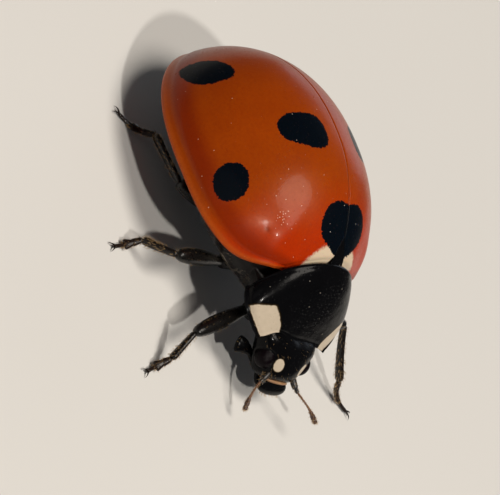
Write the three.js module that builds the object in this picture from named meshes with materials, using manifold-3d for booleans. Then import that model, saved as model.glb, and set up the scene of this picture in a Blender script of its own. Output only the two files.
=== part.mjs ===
// Seven-spot ladybird, Coccinella septempunctata, as a still life-size model of faceted solids.
// Millimetres, +Z up. The head points to -Y and the animal's right side is -X. The feet stand on z = 0
// and the origin is below the middle of the box round the whole animal.
//
// Two frames are used. The stance frame has its z = 0 at the feet. The body frame has its z = 0 at the
// rim of the wing cases and its y = 0 at their front edge, and is pitched nose up in the stance frame.

import * as THREE from 'three';
import * as BufferGeometryUtils from 'three/addons/utils/BufferGeometryUtils.js';
import Module from 'manifold-3d';

const wasm = await Module();
wasm.setup();

// ---------------------------------------------------------------- driving dimensions, mm

const NOSE_UP = THREE.MathUtils.degToRad(9); // pitch of the body over its feet
const RIM_HEIGHT = 1.7;       // height of the wing cases' front rim above the feet
const CLEARANCE = 0.03;       // gap between neighbouring pieces

const CASE_LENGTH = 5.38;     // wing cases, front edge to tip
const CASE_HALF_WIDTH = 2.7;  // at the widest place
const CASE_HEIGHT = 2.15;     // top of the dome above the rim
const CASE_BASE_HEIGHT = 1.07; // dome height at the front edge
const CASE_BASE_WIDTH = 0.45; // width at the front edge, as a share of the widest
const WIDEST_AT = 0.44;       // share of the length at which the dome is widest
const HIGHEST_AT = 0.45;      // and highest
const CASE_WALL = 0.5;        // thickness of the wing cases as solids
const SEAM = 0.03;            // gap between the two wing cases
const DOME_POWER = 0.68;      // roundness of the dome's cross-section

const SHIELD_HALF_WIDTH = 1.52;  // neck shield (pronotum) at its rear edge
const SHIELD_FRONT_HALF_WIDTH = 1.2;
const SHIELD_BULGE = 0.13;       // how far its back bows out
const SHIELD_SIDE_BULGE = 0.32;  // how far its sides bow out
const SHIELD_WALL = 0.36;

const HEAD_HALF_WIDTH = 1.0;
const FACE_TILT = THREE.MathUtils.degToRad(53); // face plane against the rim of the wing cases
const FACE_ORIGIN = new THREE.Vector3(0, -0.92, -0.43); // where the face comes out of the shield
const EYE_RADII = new THREE.Vector3(0.21, 0.24, 0.21);
const EYE_PLACE = new THREE.Vector3(0.64, -0.5, -0.11);
const HEAD_HALF_DEPTH = 0.4;
const HEAD_MIDDLE = -0.2;        // z of the skull's middle in the face frame
const STALK_RADIUS = 0.2;        // feelers and mouth feelers
const CLUB_RADIUS = 0.22;        // end of a feeler

const THIGH_RADIUS = 0.25;
const SHIN_RADIUS = 0.23;
const FOOT_RADIUS = 0.23;
const FOOT_AXIS_HEIGHT = 0.16; // height of the foot's middle line at the toe

// Joints of one leg: hip in the body frame, the others in the stance frame
const LEGS = {
  front_right: { coxa: [-0.5, -0.16, -0.8], hip: [-0.82, -0.14, -0.74], knee: [-2.62, -0.92, 0.72],
    ankle: [-3.08, -1.38, 0.34], toe: [-3.6, -1.6] },
  middle_right: { coxa: [-0.62, 0.98, -0.72], hip: [-0.9, 0.98, -0.86], knee: [-2.88, 0.62, 0.9],
    ankle: [-3.1, 1.12, 0.34], toe: [-3.72, 1.0] },
  hind_right: { coxa: [-0.45, 2.02, -0.62], hip: [-0.72, 2.06, -0.74], knee: [-2.05, 2.28, 0.85],
    ankle: [-1.78, 3.52, 0.42], toe: [-2.36, 4.02] },
  front_left: { coxa: [0.5, -0.16, -0.8], hip: [0.82, -0.14, -0.74], knee: [2.45, -0.25, 1.18],
    ankle: [3.05, -1.12, 0.42], toe: [3.66, -1.56] },
  middle_left: { coxa: [0.62, 0.98, -0.72], hip: [0.9, 0.98, -0.86], knee: [2.6, 0.66, 0.94],
    ankle: [3.12, 1.2, 0.36], toe: [3.76, 1.1] },
  hind_left: { coxa: [0.45, 2.02, -0.62], hip: [0.72, 2.06, -0.74], knee: [2.08, 2.3, 0.85],
    ankle: [2.1, 3.46, 0.42], toe: [2.66, 3.98] },
};

// ---------------------------------------------------------------- materials

const paint = (color, roughness) => new THREE.MeshStandardMaterial({ color, roughness, metalness: 0 });
const wingCaseRed = paint(0xc43a0c, 0.25);
const glossBlack = paint(0x0c0b0c, 0.3);
const eyeBlack = paint(0x0a0508, 0.2);
const feelerBrown = paint(0x4a2410, 0.5);
const bellyBlack = paint(0x131010, 0.5);

// ---------------------------------------------------------------- frames

const ladybird = new THREE.Group();
const body = new THREE.Group();
body.rotation.x = -NOSE_UP;
body.position.z = RIM_HEIGHT;
const face = new THREE.Group();
face.position.copy(FACE_ORIGIN);
face.rotation.x = FACE_TILT;
ladybird.add(body);
body.add(face);
ladybird.updateMatrixWorld(true);

// A copy of a shape, carried from one frame into another
function carried(geometry, from, to) {
  const step = to.matrixWorld.clone().invert().multiply(from.matrixWorld);
  return geometry.clone().applyMatrix4(step);
}

// ---------------------------------------------------------------- closed shapes

// Closed body from a stack of rows. A row is a ring of points, or one point where the shape ends in a tip
function stack(rows) {
  const points = [];
  const starts = rows.map((row) => points.push(...row) - row.length);
  const faces = [];
  for (let i = 0; i + 1 < rows.length; i++) {
    const n = Math.max(rows[i].length, rows[i + 1].length);
    for (let k = 0; k < n; k++) {
      const corner = (row, step) => starts[row] + (rows[row].length > 1 ? (k + step) % n : 0);
      if (rows[i].length > 1) faces.push(corner(i, 0), corner(i, 1), corner(i + 1, 0));
      if (rows[i + 1].length > 1) faces.push(corner(i, 1), corner(i + 1, 1), corner(i + 1, 0));
    }
  }
  closeEnd(points, faces, rows[0], starts[0], false);
  closeEnd(points, faces, rows[rows.length - 1], starts[rows.length - 1], true);
  return outward(points, faces);
}

function closeEnd(points, faces, row, start, isLast) {
  if (row.length === 1) return;
  const middle = new THREE.Vector3();
  row.forEach((p) => middle.addScaledVector(p, 1 / row.length));
  const hub = points.push(middle) - 1;
  for (let k = 0; k < row.length; k++) {
    const next = (k + 1) % row.length;
    if (isLast) faces.push(start + k, start + next, hub);
    else faces.push(start + next, start + k, hub);
  }
}

// Indexed geometry whose faces all point out of the body
function outward(points, faces) {
  let volume = 0;
  for (let i = 0; i < faces.length; i += 3) {
    const [a, b, c] = [points[faces[i]], points[faces[i + 1]], points[faces[i + 2]]];
    volume += a.dot(new THREE.Vector3().crossVectors(b, c));
  }
  if (volume < 0) faces.reverse();
  const geometry = new THREE.BufferGeometry().setFromPoints(points);
  geometry.setIndex(faces);
  return geometry;
}

// Round limb along a curve, thinner towards rounded ends; power sets how blunt the ends are
function limb(path, radiusA, radiusB, { sides = 8, rings = 7, power = 6, grow = 0 } = {}) {
  const frames = path.computeFrenetFrames(rings + 1, false);
  const first = path.getPoint(0).addScaledVector(frames.tangents[0], -grow);
  const last = path.getPoint(1).addScaledVector(frames.tangents[rings + 1], grow);
  const rows = [[first]];
  for (let i = 1; i <= rings; i++) {
    const s = 0.5 - 0.5 * Math.cos((Math.PI * (i - 0.25)) / (rings + 0.5));
    const taper = Math.pow(1 - Math.pow(Math.abs(2 * s - 1), power), 0.5);
    const radius = THREE.MathUtils.lerp(radiusA, radiusB, s) * taper + grow;
    const k = Math.round(s * (rings + 1));
    rows.push(ring(path.getPoint(s), frames.normals[k], frames.binormals[k], radius, sides));
  }
  rows.push([last]);
  return stack(rows);
}

function ring(centre, sideways, upwards, radius, sides) {
  return Array.from({ length: sides }, (_, k) => {
    const turn = (2 * Math.PI * k) / sides;
    return centre.clone()
      .addScaledVector(sideways, radius * Math.cos(turn))
      .addScaledVector(upwards, radius * Math.sin(turn));
  });
}

const vec = (list) => new THREE.Vector3(...list);
const straight = (a, b) => new THREE.LineCurve3(a, b);
const FAR = 9; // past the animal in every direction

function ball(centre, radii, grow = 0, columns = 12, rows = 8) {
  const geometry = new THREE.SphereGeometry(1, columns, rows);
  geometry.scale(radii.x + grow, radii.y + grow, radii.z + grow);
  return geometry.translate(centre.x, centre.y, centre.z);
}

function block(low, high) {
  const size = new THREE.Vector3().subVectors(vec(high), vec(low));
  const middle = new THREE.Vector3().addVectors(vec(high), vec(low)).multiplyScalar(0.5);
  return new THREE.BoxGeometry(size.x, size.y, size.z).translate(middle.x, middle.y, middle.z);
}

// ---------------------------------------------------------------- joining and cutting

function toSolid(geometry) {
  const bare = geometry.clone();
  bare.deleteAttribute('normal');
  bare.deleteAttribute('uv');
  const merged = BufferGeometryUtils.mergeVertices(bare, 1e-5);
  const mesh = new wasm.Mesh({
    numProp: 3,
    vertProperties: new Float32Array(merged.attributes.position.array),
    triVerts: new Uint32Array(merged.index.array),
  });
  return new wasm.Manifold(mesh);
}

function toGeometry(solid) {
  const { vertProperties, triVerts } = solid.getMesh();
  const geometry = new THREE.BufferGeometry();
  geometry.setAttribute('position', new THREE.BufferAttribute(new Float32Array(vertProperties), 3));
  geometry.setIndex(new THREE.BufferAttribute(new Uint32Array(triVerts), 1));
  return geometry;
}

const cut = (geometry, ...tools) => toGeometry(
  tools.reduce((solid, tool) => solid.subtract(toSolid(tool)), toSolid(geometry)));
const common = (a, b) => toGeometry(toSolid(a).intersect(toSolid(b)));

function addPart(group, name, geometry, material) {
  const flat = geometry.index ? geometry.toNonIndexed() : geometry;
  flat.deleteAttribute('uv');
  flat.computeVertexNormals();
  const mesh = new THREE.Mesh(flat, material);
  mesh.name = name;
  group.add(mesh);
}

// ---------------------------------------------------------------- wing cases

// Half-width of the dome at a share u of its length
function domeWidth(u) {
  if (u < WIDEST_AT) {
    return CASE_HALF_WIDTH * (1 - (1 - CASE_BASE_WIDTH) * ((WIDEST_AT - u) / WIDEST_AT) ** 3.4);
  }
  const v = (u - WIDEST_AT) / (1 - WIDEST_AT);
  return CASE_HALF_WIDTH * Math.max(0, 1 - v ** 2.31) ** 0.53;
}

// Height of the dome over the rim at a share u of its length
function domeHeight(u) {
  if (u < HIGHEST_AT) {
    return CASE_HEIGHT - (CASE_HEIGHT - CASE_BASE_HEIGHT) * ((HIGHEST_AT - u) / HIGHEST_AT) ** 2.2;
  }
  const v = (u - HIGHEST_AT) / (1 - HIGHEST_AT);
  return CASE_HEIGHT * Math.max(0, 1 - v ** 2.28) ** 0.59;
}

const archHeight = (t) => Math.max(0, 1 - t * t) ** DOME_POWER;

// Points over the dome from one rim to the other, at an inset below the outer face
function arch(u, inset, steps) {
  const [width, height] = [domeWidth(u) - inset, domeHeight(u) - inset];
  return Array.from({ length: steps + 1 }, (_, k) => {
    const t = Math.sin((Math.PI / 2) * ((2 * k) / steps - 1));
    return new THREE.Vector3(width * t, u * CASE_LENGTH, height * archHeight(t));
  });
}

function outerDome(rowCount, steps) {
  const rows = [];
  for (let i = 0; i < rowCount; i++) {
    rows.push(arch(1 - (1 - i / rowCount) ** 1.45, 0, steps));
  }
  rows.push([new THREE.Vector3(0, CASE_LENGTH, 0)]);
  return stack(rows);
}

// Share of the length at which the dome has shrunk to an inset
function insetEnd(inset) {
  let u = 0.7;
  while (domeWidth(u) > inset + 0.12 && domeHeight(u) > inset + 0.12) u += 0.002;
  return u;
}

function innerDome(inset, depth, rowCount, steps) {
  const end = insetEnd(inset);
  const rows = [];
  for (let i = 0; i <= rowCount; i++) {
    rows.push(downTo(arch((end * i) / rowCount, inset, steps), -depth));
  }
  rows.unshift(rows[0].map((p) => p.clone().setY(-1)));
  return stack(rows);
}

function downTo(points, z) {
  const first = points[0].clone().setZ(z);
  const last = points[points.length - 1].clone().setZ(z);
  return [first, ...points, last];
}

// Small triangle between the bases of the wing cases, seen from above
function scutellumPrism(grow) {
  const [halfWidth, length] = [0.2 + grow, 0.36 + grow];
  const outline = new THREE.Shape([
    new THREE.Vector2(-halfWidth, -0.2),
    new THREE.Vector2(halfWidth, -0.2),
    new THREE.Vector2(halfWidth, 0.02),
    new THREE.Vector2(0, length),
    new THREE.Vector2(-halfWidth, 0.02),
  ]);
  return new THREE.ExtrudeGeometry(outline, { depth: 3, bevelEnabled: false });
}

function makeWingCases() {
  const shell = cut(outerDome(16, 18), innerDome(CASE_WALL, 1, 10, 12), shieldRoom());
  const seam = SEAM / 2;
  const parted = cut(shell, scutellumPrism(CLEARANCE));
  const left = common(parted, block([seam, -FAR, -FAR], [FAR, FAR, FAR]));
  const right = common(parted, block([-FAR, -FAR, -FAR], [-seam, FAR, FAR]));
  addPart(body, 'elytron_left', left, wingCaseRed);
  addPart(body, 'elytron_right', right, wingCaseRed);
  addPart(body, 'scutellum', common(shell, scutellumPrism(0)), glossBlack);
}

// ---------------------------------------------------------------- neck shield

const SHIELD_REAR = new THREE.Vector2(-0.03, 1.02);  // y and z of its middle line at the rear edge
const SHIELD_FRONT = new THREE.Vector2(-0.96, -0.46);
const SHIELD_REAR_CORNER = new THREE.Vector2(0.04, -0.2);
const SHIELD_FRONT_CORNER = new THREE.Vector2(-0.95, -0.62);

// Point of the shield: v runs from rear to front, t from right to left, inset goes inwards
function shieldPoint(v, t, inset) {
  const swell = Math.sin(Math.PI * THREE.MathUtils.clamp(v, 0, 1));
  const slope = SHIELD_FRONT.clone().sub(SHIELD_REAR).normalize();
  const out = new THREE.Vector2(slope.y, -slope.x);
  const middle = SHIELD_REAR.clone().lerp(SHIELD_FRONT, v);
  middle.addScaledVector(out, SHIELD_BULGE * swell - inset);
  const corner = SHIELD_REAR_CORNER.clone().lerp(SHIELD_FRONT_CORNER, v);
  corner.addScaledVector(out, -0.25 * inset);
  corner.y += 0.06 * swell;
  const straightWidth = THREE.MathUtils.lerp(SHIELD_HALF_WIDTH, SHIELD_FRONT_HALF_WIDTH, v);
  const width = straightWidth + SHIELD_SIDE_BULGE * swell - 0.3 * inset;
  const yz = corner.lerp(middle, Math.max(0, 1 - t * t) ** 0.6);
  return new THREE.Vector3(width * t, yz.x, yz.y);
}

function shieldArch(v, inset, steps) {
  return Array.from({ length: steps + 1 }, (_, k) => (
    shieldPoint(v, Math.sin((Math.PI / 2) * ((2 * k) / steps - 1)), inset)));
}

// Everything below the outer face of the shield, down past the neck
function underShield() {
  const rows = [];
  for (let i = 0; i <= 8; i++) {
    const over = shieldArch(i / 8, 0, 12);
    const drop = new THREE.Vector3(0, 1.2, -1.7);
    rows.push([...over, over[over.length - 1].clone().add(drop), over[0].clone().add(drop)]);
  }
  return stack(rows);
}

// Everything above a face that lies at an inset below the outer face of the shield
function aboveShield(inset) {
  const rows = [];
  for (let i = -4; i <= 12; i++) {
    const under = shieldArch(i / 8, inset, 10);
    const lift = new THREE.Vector3(0, -1.7, 1.2);
    const right = under[0].clone().setX(-3);
    const left = under[under.length - 1].clone().setX(3);
    rows.push([...under, left, left.clone().add(lift), right.clone().add(lift), right]);
  }
  return stack(rows);
}

const shieldPlate = () => common(underShield(), aboveShield(SHIELD_WALL));

// The shield and all that lies straight below it, with the gap that its neighbours keep
function shieldRoom() {
  const rows = [];
  for (let i = 0; i <= 8; i++) {
    const over = shieldArch(THREE.MathUtils.lerp(-CLEARANCE, 1, i / 8), -CLEARANCE, 12);
    const drop = new THREE.Vector3(0, 0, -2);
    rows.push([...over, over[over.length - 1].clone().add(drop), over[0].clone().add(drop)]);
  }
  return stack(rows);
}

// ---------------------------------------------------------------- trunk under the cases and shield

const WAIST = 2.27;        // where the thorax meets the abdomen, from the front of the cases
const BREAST_HALF_WIDTH = 1.4; // of the underside at its front end
const CORE_INSET = CASE_WALL + CLEARANCE;

// Depth of the belly below the rim at a share u of the length, drawn up in a curve at the rear end
function bellyDepth(u) {
  const toEnd = THREE.MathUtils.clamp((u - 0.55) / 0.38, 0, 1);
  return (0.78 - 0.5 * u ** 1.4) * Math.sqrt(1 - toEnd ** 2.4);
}

function trunkRow(u, steps) {
  const over = arch(u, CORE_INSET, steps);
  const halfWidth = Math.max(domeWidth(u) - CORE_INSET, BREAST_HALF_WIDTH * (1 - u));
  const under = Array.from({ length: steps + 1 }, (_, k) => {
    const t = Math.cos((Math.PI * k) / steps);
    const depth = CLEARANCE + bellyDepth(u) * Math.sqrt(Math.max(0, 1 - t * t));
    return new THREE.Vector3(halfWidth * t, u * CASE_LENGTH, -depth);
  });
  return [...over, ...under];
}

function trunkCore() {
  const end = insetEnd(CORE_INSET);
  const rows = [];
  const rowCount = 11;
  for (let i = 0; i <= rowCount; i++) rows.push(trunkRow((end * i) / rowCount, 12));
  return stack(rows);
}

// Underside of the neck ring, deeper than the shield and closed against the thorax behind it
function neckCore() {
  const rows = [];
  for (let i = 0; i <= 3; i++) {
    const y = THREE.MathUtils.lerp(-0.7, -CLEARANCE, i / 3);
    const halfWidth = THREE.MathUtils.lerp(0.95, 1.3, i / 3);
    rows.push(ovalRow(y, halfWidth, -1, THREE.MathUtils.lerp(0.2, 0.6, i / 3)));
  }
  return stack(rows);
}

function ovalRow(y, halfWidth, low, high) {
  const [middle, half] = [(low + high) / 2, (high - low) / 2];
  return Array.from({ length: 16 }, (_, k) => {
    const turn = (2 * Math.PI * k) / 16;
    return new THREE.Vector3(halfWidth * Math.cos(turn), y, middle + half * Math.sin(turn));
  });
}

// ---------------------------------------------------------------- legs

function hipPoint(leg) {
  return vec(leg.hip).applyMatrix4(body.matrixWorld);
}

function coxaShape(leg, grow = 0) {
  return limb(straight(vec(leg.coxa), vec(leg.hip).lerp(vec(leg.coxa), -0.35)), 0.27, 0.23,
    { sides: 8, rings: 5, power: 4, grow });
}

function thighShape(leg, grow = 0) {
  const knee = vec(leg.knee);
  const start = hipPoint(leg).lerp(knee, 0.08);
  return limb(straight(start, knee), THIGH_RADIUS, THIGH_RADIUS * 0.92, { rings: 6, power: 8, grow });
}

function shinShape(leg, grow = 0) {
  return limb(straight(vec(leg.knee), vec(leg.ankle)), SHIN_RADIUS, SHIN_RADIUS * 0.95,
    { rings: 6, power: 8, grow });
}

function footShape(leg, grow = 0) {
  const ankle = vec(leg.ankle);
  const toe = new THREE.Vector3(leg.toe[0], leg.toe[1], FOOT_AXIS_HEIGHT);
  const bend = ankle.clone().lerp(toe, 0.45).setZ(FOOT_AXIS_HEIGHT);
  const path = new THREE.QuadraticBezierCurve3(ankle, bend, toe);
  return limb(path, FOOT_RADIUS * 0.95, FOOT_RADIUS, { rings: 7, power: 6, grow });
}

function makeLegs() {
  const ground = block([-FAR, -FAR, -FAR], [FAR, FAR, 0]);
  for (const [name, leg] of Object.entries(LEGS)) {
    const coxaInStance = carried(coxaShape(leg, CLEARANCE), body, ladybird);
    const thigh = cut(thighShape(leg), coxaInStance);
    const shin = cut(shinShape(leg), thighShape(leg, CLEARANCE));
    const foot = cut(footShape(leg), shinShape(leg, CLEARANCE), ground);
    addPart(body, `coxa_${name}`, coxaShape(leg), glossBlack);
    addPart(ladybird, `femur_${name}`, thigh, glossBlack);
    addPart(ladybird, `tibia_${name}`, shin, glossBlack);
    addPart(ladybird, `tarsus_${name}`, foot, glossBlack);
  }
}

// All that the hips and thighs need cut out of the trunk
function hipSockets() {
  return Object.values(LEGS).flatMap((leg) => (
    [coxaShape(leg, CLEARANCE), carried(thighShape(leg, CLEARANCE), ladybird, body)]));
}

function makeTrunk() {
  const core = cut(trunkCore(), shieldRoom(), ...hipSockets());
  const gap = CLEARANCE / 2;
  const thorax = common(core, block([-FAR, 0, -FAR], [FAR, WAIST - gap, FAR]));
  const abdomen = common(core, block([-FAR, WAIST + gap, -FAR], [FAR, FAR, FAR]));
  const skullInBody = carried(skull(CLEARANCE), face, body);
  const neck = cut(neckCore(), aboveShield(SHIELD_WALL + CLEARANCE), skullInBody, ...hipSockets());
  addPart(body, 'thorax', thorax, bellyBlack);
  addPart(body, 'abdomen', abdomen, bellyBlack);
  addPart(body, 'prothorax', neck, bellyBlack);
  addPart(body, 'pronotum', cut(shieldPlate(), skullInBody), glossBlack);
}

// ---------------------------------------------------------------- head, in the frame of the face

// The face frame has +Y up the face and +Z out of it. The crown sinks in under the neck shield
function skull(grow = 0) {
  const rows = [];
  const [top, bottom] = [0.3, -0.98];
  for (let i = 0; i <= 8; i++) {
    const s = i / 8;
    const y = THREE.MathUtils.lerp(top + grow, bottom - grow, s);
    const fullness = Math.sqrt(Math.max(0.05, 1 - Math.abs(2 * s - 1) ** 3));
    const taper = 1 - 0.5 * s ** 1.6;
    const halfWidth = HEAD_HALF_WIDTH * (0.35 + 0.65 * fullness) * taper + grow;
    const halfDepth = HEAD_HALF_DEPTH * (0.4 + 0.6 * fullness) + grow;
    const crown = 1 - 0.9 * THREE.MathUtils.clamp((y + 0.25) / 0.35, 0, 1);
    rows.push(Array.from({ length: 16 }, (_, k) => {
      const turn = (2 * Math.PI * k) / 16;
      const depth = halfDepth * Math.sin(turn) * (turn < Math.PI ? crown : 1);
      return new THREE.Vector3(halfWidth * Math.cos(turn), y, HEAD_MIDDLE + depth);
    }));
  }
  return stack(rows);
}

const sided = (v, side) => new THREE.Vector3(v.x * side, v.y, v.z);
const eyeShape = (side, grow = 0) => ball(sided(EYE_PLACE, side), EYE_RADII, grow);

function lipShape(grow = 0) {
  return limb(straight(new THREE.Vector3(-0.34, -1.07, -0.13), new THREE.Vector3(0.34, -1.07, -0.13)),
    0.2, 0.2, { rings: 5, power: 4, grow });
}

function jawShape(side, grow = 0) {
  const start = new THREE.Vector3(0.3 * side, -0.95, -0.48);
  const end = new THREE.Vector3(0.1 * side, -1.28, -0.4);
  return limb(straight(start, end), 0.2, 0.14, { rings: 5, power: 5, grow });
}

// The right feeler hangs down and the left one reaches forward
const FEELERS = {
  right: [[-0.52, -0.9, 0.02], [-0.7, -1.1, 0.02], [-0.78, -1.34, 0.04], [-0.83, -1.61, 0.08]],
  left: [[0.46, -0.84, 0.0], [0.56, -1.02, 0.16], [0.74, -1.18, 0.4], [1.06, -1.44, 0.5]],
};

const PALPS = {
  right: [[-0.3, -0.9, -0.5], [-0.6, -0.58, -0.52], [-0.92, -0.5, -0.68]],
  left: [[0.3, -0.9, -0.5], [0.64, -0.64, -0.54], [0.94, -0.58, -0.7]],
};

function stalkShape(from, to, grow) {
  return limb(straight(from, to), STALK_RADIUS, STALK_RADIUS, { rings: 4, power: 5, grow });
}

function makeFeelers(side, sign) {
  const [base, elbow, wrist, tip] = FEELERS[side].map(vec);
  const scape = (grow) => stalkShape(base, elbow, grow);
  const stalk = (grow) => stalkShape(elbow, wrist, grow);
  const club = limb(straight(wrist, tip), STALK_RADIUS, CLUB_RADIUS, { rings: 5, power: 4 });
  const head = [skull(CLEARANCE), eyeShape(sign, CLEARANCE), lipShape(CLEARANCE)];
  addPart(face, `antenna_${side}_scape`, cut(scape(0), ...head), glossBlack);
  addPart(face, `antenna_${side}_stalk`, cut(stalk(0), scape(CLEARANCE), ...head), feelerBrown);
  addPart(face, `antenna_${side}_club`, cut(club, stalk(CLEARANCE)), feelerBrown);
}

function makePalps(side, sign) {
  const [base, bend, tip] = PALPS[side].map(vec);
  const stalk = (grow) => stalkShape(base, bend, grow);
  const hatchet = limb(straight(bend, tip), STALK_RADIUS, STALK_RADIUS, { rings: 4, power: 4 });
  const head = [skull(CLEARANCE), eyeShape(sign, CLEARANCE), jawShape(sign, CLEARANCE)];
  addPart(face, `palp_${side}_stalk`, cut(stalk(0), ...head), glossBlack);
  addPart(face, `palp_${side}_tip`, cut(hatchet, stalk(CLEARANCE), ...head), glossBlack);
}

function makeHead() {
  addPart(face, 'head', cut(skull(), eyeShape(1, CLEARANCE), eyeShape(-1, CLEARANCE)), glossBlack);
  addPart(face, 'labrum', cut(lipShape(), skull(CLEARANCE)), glossBlack);
  for (const [side, sign] of [['right', -1], ['left', 1]]) {
    addPart(face, `eye_${side}`, eyeShape(sign), eyeBlack);
    const jaw = cut(jawShape(sign), skull(CLEARANCE), lipShape(CLEARANCE));
    addPart(face, `mandible_${side}`, jaw, glossBlack);
    makeFeelers(side, sign);
    makePalps(side, sign);
  }
}

// ---------------------------------------------------------------- the whole animal

makeWingCases();
makeTrunk();
makeHead();
makeLegs();

const box = new THREE.Box3().setFromObject(ladybird, true);
ladybird.position.set(-(box.min.x + box.max.x) / 2, -(box.min.y + box.max.y) / 2, 0);

export default ladybird;
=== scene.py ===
"""Seven-spot ladybird, life size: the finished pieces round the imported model.

Shapes are worked out in millimetres, in one of three frames: the stance, with z = 0 under the feet;
the trunk, with z = 0 at the rim of the wing cases and y = 0 at their front edge, pitched nose up; and
the face, with +y up the face and +z out of it. Meshes are written in metres.
"""

import bpy
import numpy as np
from mathutils import Matrix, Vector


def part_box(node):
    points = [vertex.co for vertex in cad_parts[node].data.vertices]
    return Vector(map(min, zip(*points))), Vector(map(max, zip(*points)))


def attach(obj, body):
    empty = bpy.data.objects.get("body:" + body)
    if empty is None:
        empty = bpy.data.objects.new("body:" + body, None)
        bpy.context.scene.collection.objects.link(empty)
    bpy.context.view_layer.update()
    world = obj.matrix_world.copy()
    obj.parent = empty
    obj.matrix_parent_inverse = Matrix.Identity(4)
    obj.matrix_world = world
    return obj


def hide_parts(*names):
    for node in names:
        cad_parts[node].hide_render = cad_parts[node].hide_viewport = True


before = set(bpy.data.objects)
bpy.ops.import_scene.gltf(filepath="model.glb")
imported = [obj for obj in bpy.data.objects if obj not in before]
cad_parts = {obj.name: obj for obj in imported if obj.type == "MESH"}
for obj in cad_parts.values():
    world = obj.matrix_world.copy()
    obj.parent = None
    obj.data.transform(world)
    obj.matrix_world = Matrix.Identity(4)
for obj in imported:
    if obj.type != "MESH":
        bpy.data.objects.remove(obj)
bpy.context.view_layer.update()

# ---------- thorax and abdomen
# The belly of the beetle: black plates of hard skin, with a dull shine and short pale down. The rear
# edge of each ring of the abdomen lies over the next one, and a white plate shows on each flank.

MM = 0.001
NOSE_UP = np.radians(9)
RIM_HEIGHT = 1.7  # wing cases' front rim above the feet
CASE_LENGTH = 5.38
CASE_HALF_WIDTH = 2.7
CASE_HEIGHT = 2.15
# Place of the most, share at the base, power of the rise, and powers of the fall and its end
WIDTH_CURVE = (0.44, 0.45, 3.4, 2.31, 0.53)
HEIGHT_CURVE = (0.45, 1.07 / 2.15, 2.2, 2.28, 0.59)
ARCH_POWER = 0.68

WAIST = 2.27
BELLY_END = 5.2
BELLY_OVERLAP = 0.03
BELLY_INSET = 0.42  # the trunk ends this far inside the rim
BREAST_HALF_WIDTH = 1.4
RING_EDGES = np.array([2.27, 2.95, 3.45, 3.9, 4.3, 4.68, 5.4])
THORAX_SEAMS = (0.1, 0.92)
PLATE_STEP = 0.035
FLANK_PLATE = (0.8, -0.58)  # y and z of the white plate's middle
FLANK_PLATE_RADIUS = 0.15

PIT_RADIUS = 0.016
PIT_DEPTH = 0.004
PIT_BROWN = (0.2, 0.11, 0.03)
AMBER = (0.16, 0.09, 0.015)
SPECK_GREY = (0.5, 0.45, 0.38)
# Pale specks on the black skin stand partly for dust and partly for painted glints off the fine pits
SHELL_SPECKS = (6.0, 0.014, 0.42)  # cells to a millimetre, radius, share for the choice

right_case, left_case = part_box("elytron_right"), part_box("elytron_left")
MIDDLE_X = (right_case[0].x + left_case[1].x) / 2 / MM
FRONT_Y = right_case[1].y / MM - CASE_LENGTH * np.cos(NOSE_UP)


def xyz(x, y, z):
    """Points from three coordinates, each a number or an array."""
    return np.stack(np.broadcast_arrays(x, y, z), -1)


def tipped(points, angle):
    """Turned about the x axis."""
    x, y, z = np.moveaxis(points, -1, 0)
    cos, sin = np.cos(angle), np.sin(angle)
    return xyz(x, y * cos - z * sin, y * sin + z * cos)


def in_stance(points):
    """In metres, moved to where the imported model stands."""
    return (points + (MIDDLE_X, FRONT_Y, 0)) * MM


def trunk_to_stance(points):
    """Turned nose up and lifted to the height of the rim."""
    return tipped(points, -NOSE_UP) + (0, 0, RIM_HEIGHT)


def in_trunk(points):
    return in_stance(trunk_to_stance(points))


def skin(rings, **values):
    """Closed skin over an array of rings: two triangles between each four neighbours. Points at one place
    become one, so a ring shrunk to a point or folded flat closes the end. values go with the points."""
    rows, around, _ = rings.shape
    index = np.arange(rows * around).reshape(rows, around)
    a, b = index[:-1], index[1:]
    c, d = np.roll(b, -1, 1), np.roll(a, -1, 1)
    faces = np.vstack([np.stack([a, d, c], -1), np.stack([a, c, b], -1)]).reshape(-1, 3)
    points = rings.reshape(-1, 3)
    _, first, same = np.unique(points.round(9), axis=0, return_index=True, return_inverse=True)
    faces = same.ravel()[faces]
    whole = (faces != np.roll(faces, 1, 1)).all(1)
    faces, points = faces[whole], points[first]
    one, two, three = (points[faces[:, k]] for k in range(3))
    if np.einsum("ij,ij->", one, np.cross(two, three)) < 0:
        faces = faces[:, ::-1]
    return points, faces, {key: value.ravel()[first] for key, value in values.items()}


def placed(name, data):
    """An object at the origin, in the scene."""
    made = bpy.data.objects.new(name, data)
    bpy.context.scene.collection.objects.link(made)
    return made


def piece(name, skins, finish, slot, *replaced):
    """One smooth object from one or more skins."""
    starts = np.cumsum([0] + [len(points) for points, _, _ in skins])
    points = np.vstack([part[0] for part in skins])
    faces = np.vstack([part[1] + start for part, start in zip(skins, starts)])
    mesh = bpy.data.meshes.new(name)
    mesh.from_pydata(points.tolist(), [], faces.tolist())
    mesh.shade_smooth()
    for key in skins[0][2]:
        layer = mesh.attributes.new(key, "FLOAT", "POINT")
        layer.data.foreach_set("value", np.hstack([part[2][key] for part in skins]).astype(np.float32))
    mesh.materials.append(finish)
    made = placed(name, mesh)
    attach(made, "root")
    if replaced:
        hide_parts(*replaced)
    return made


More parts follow.
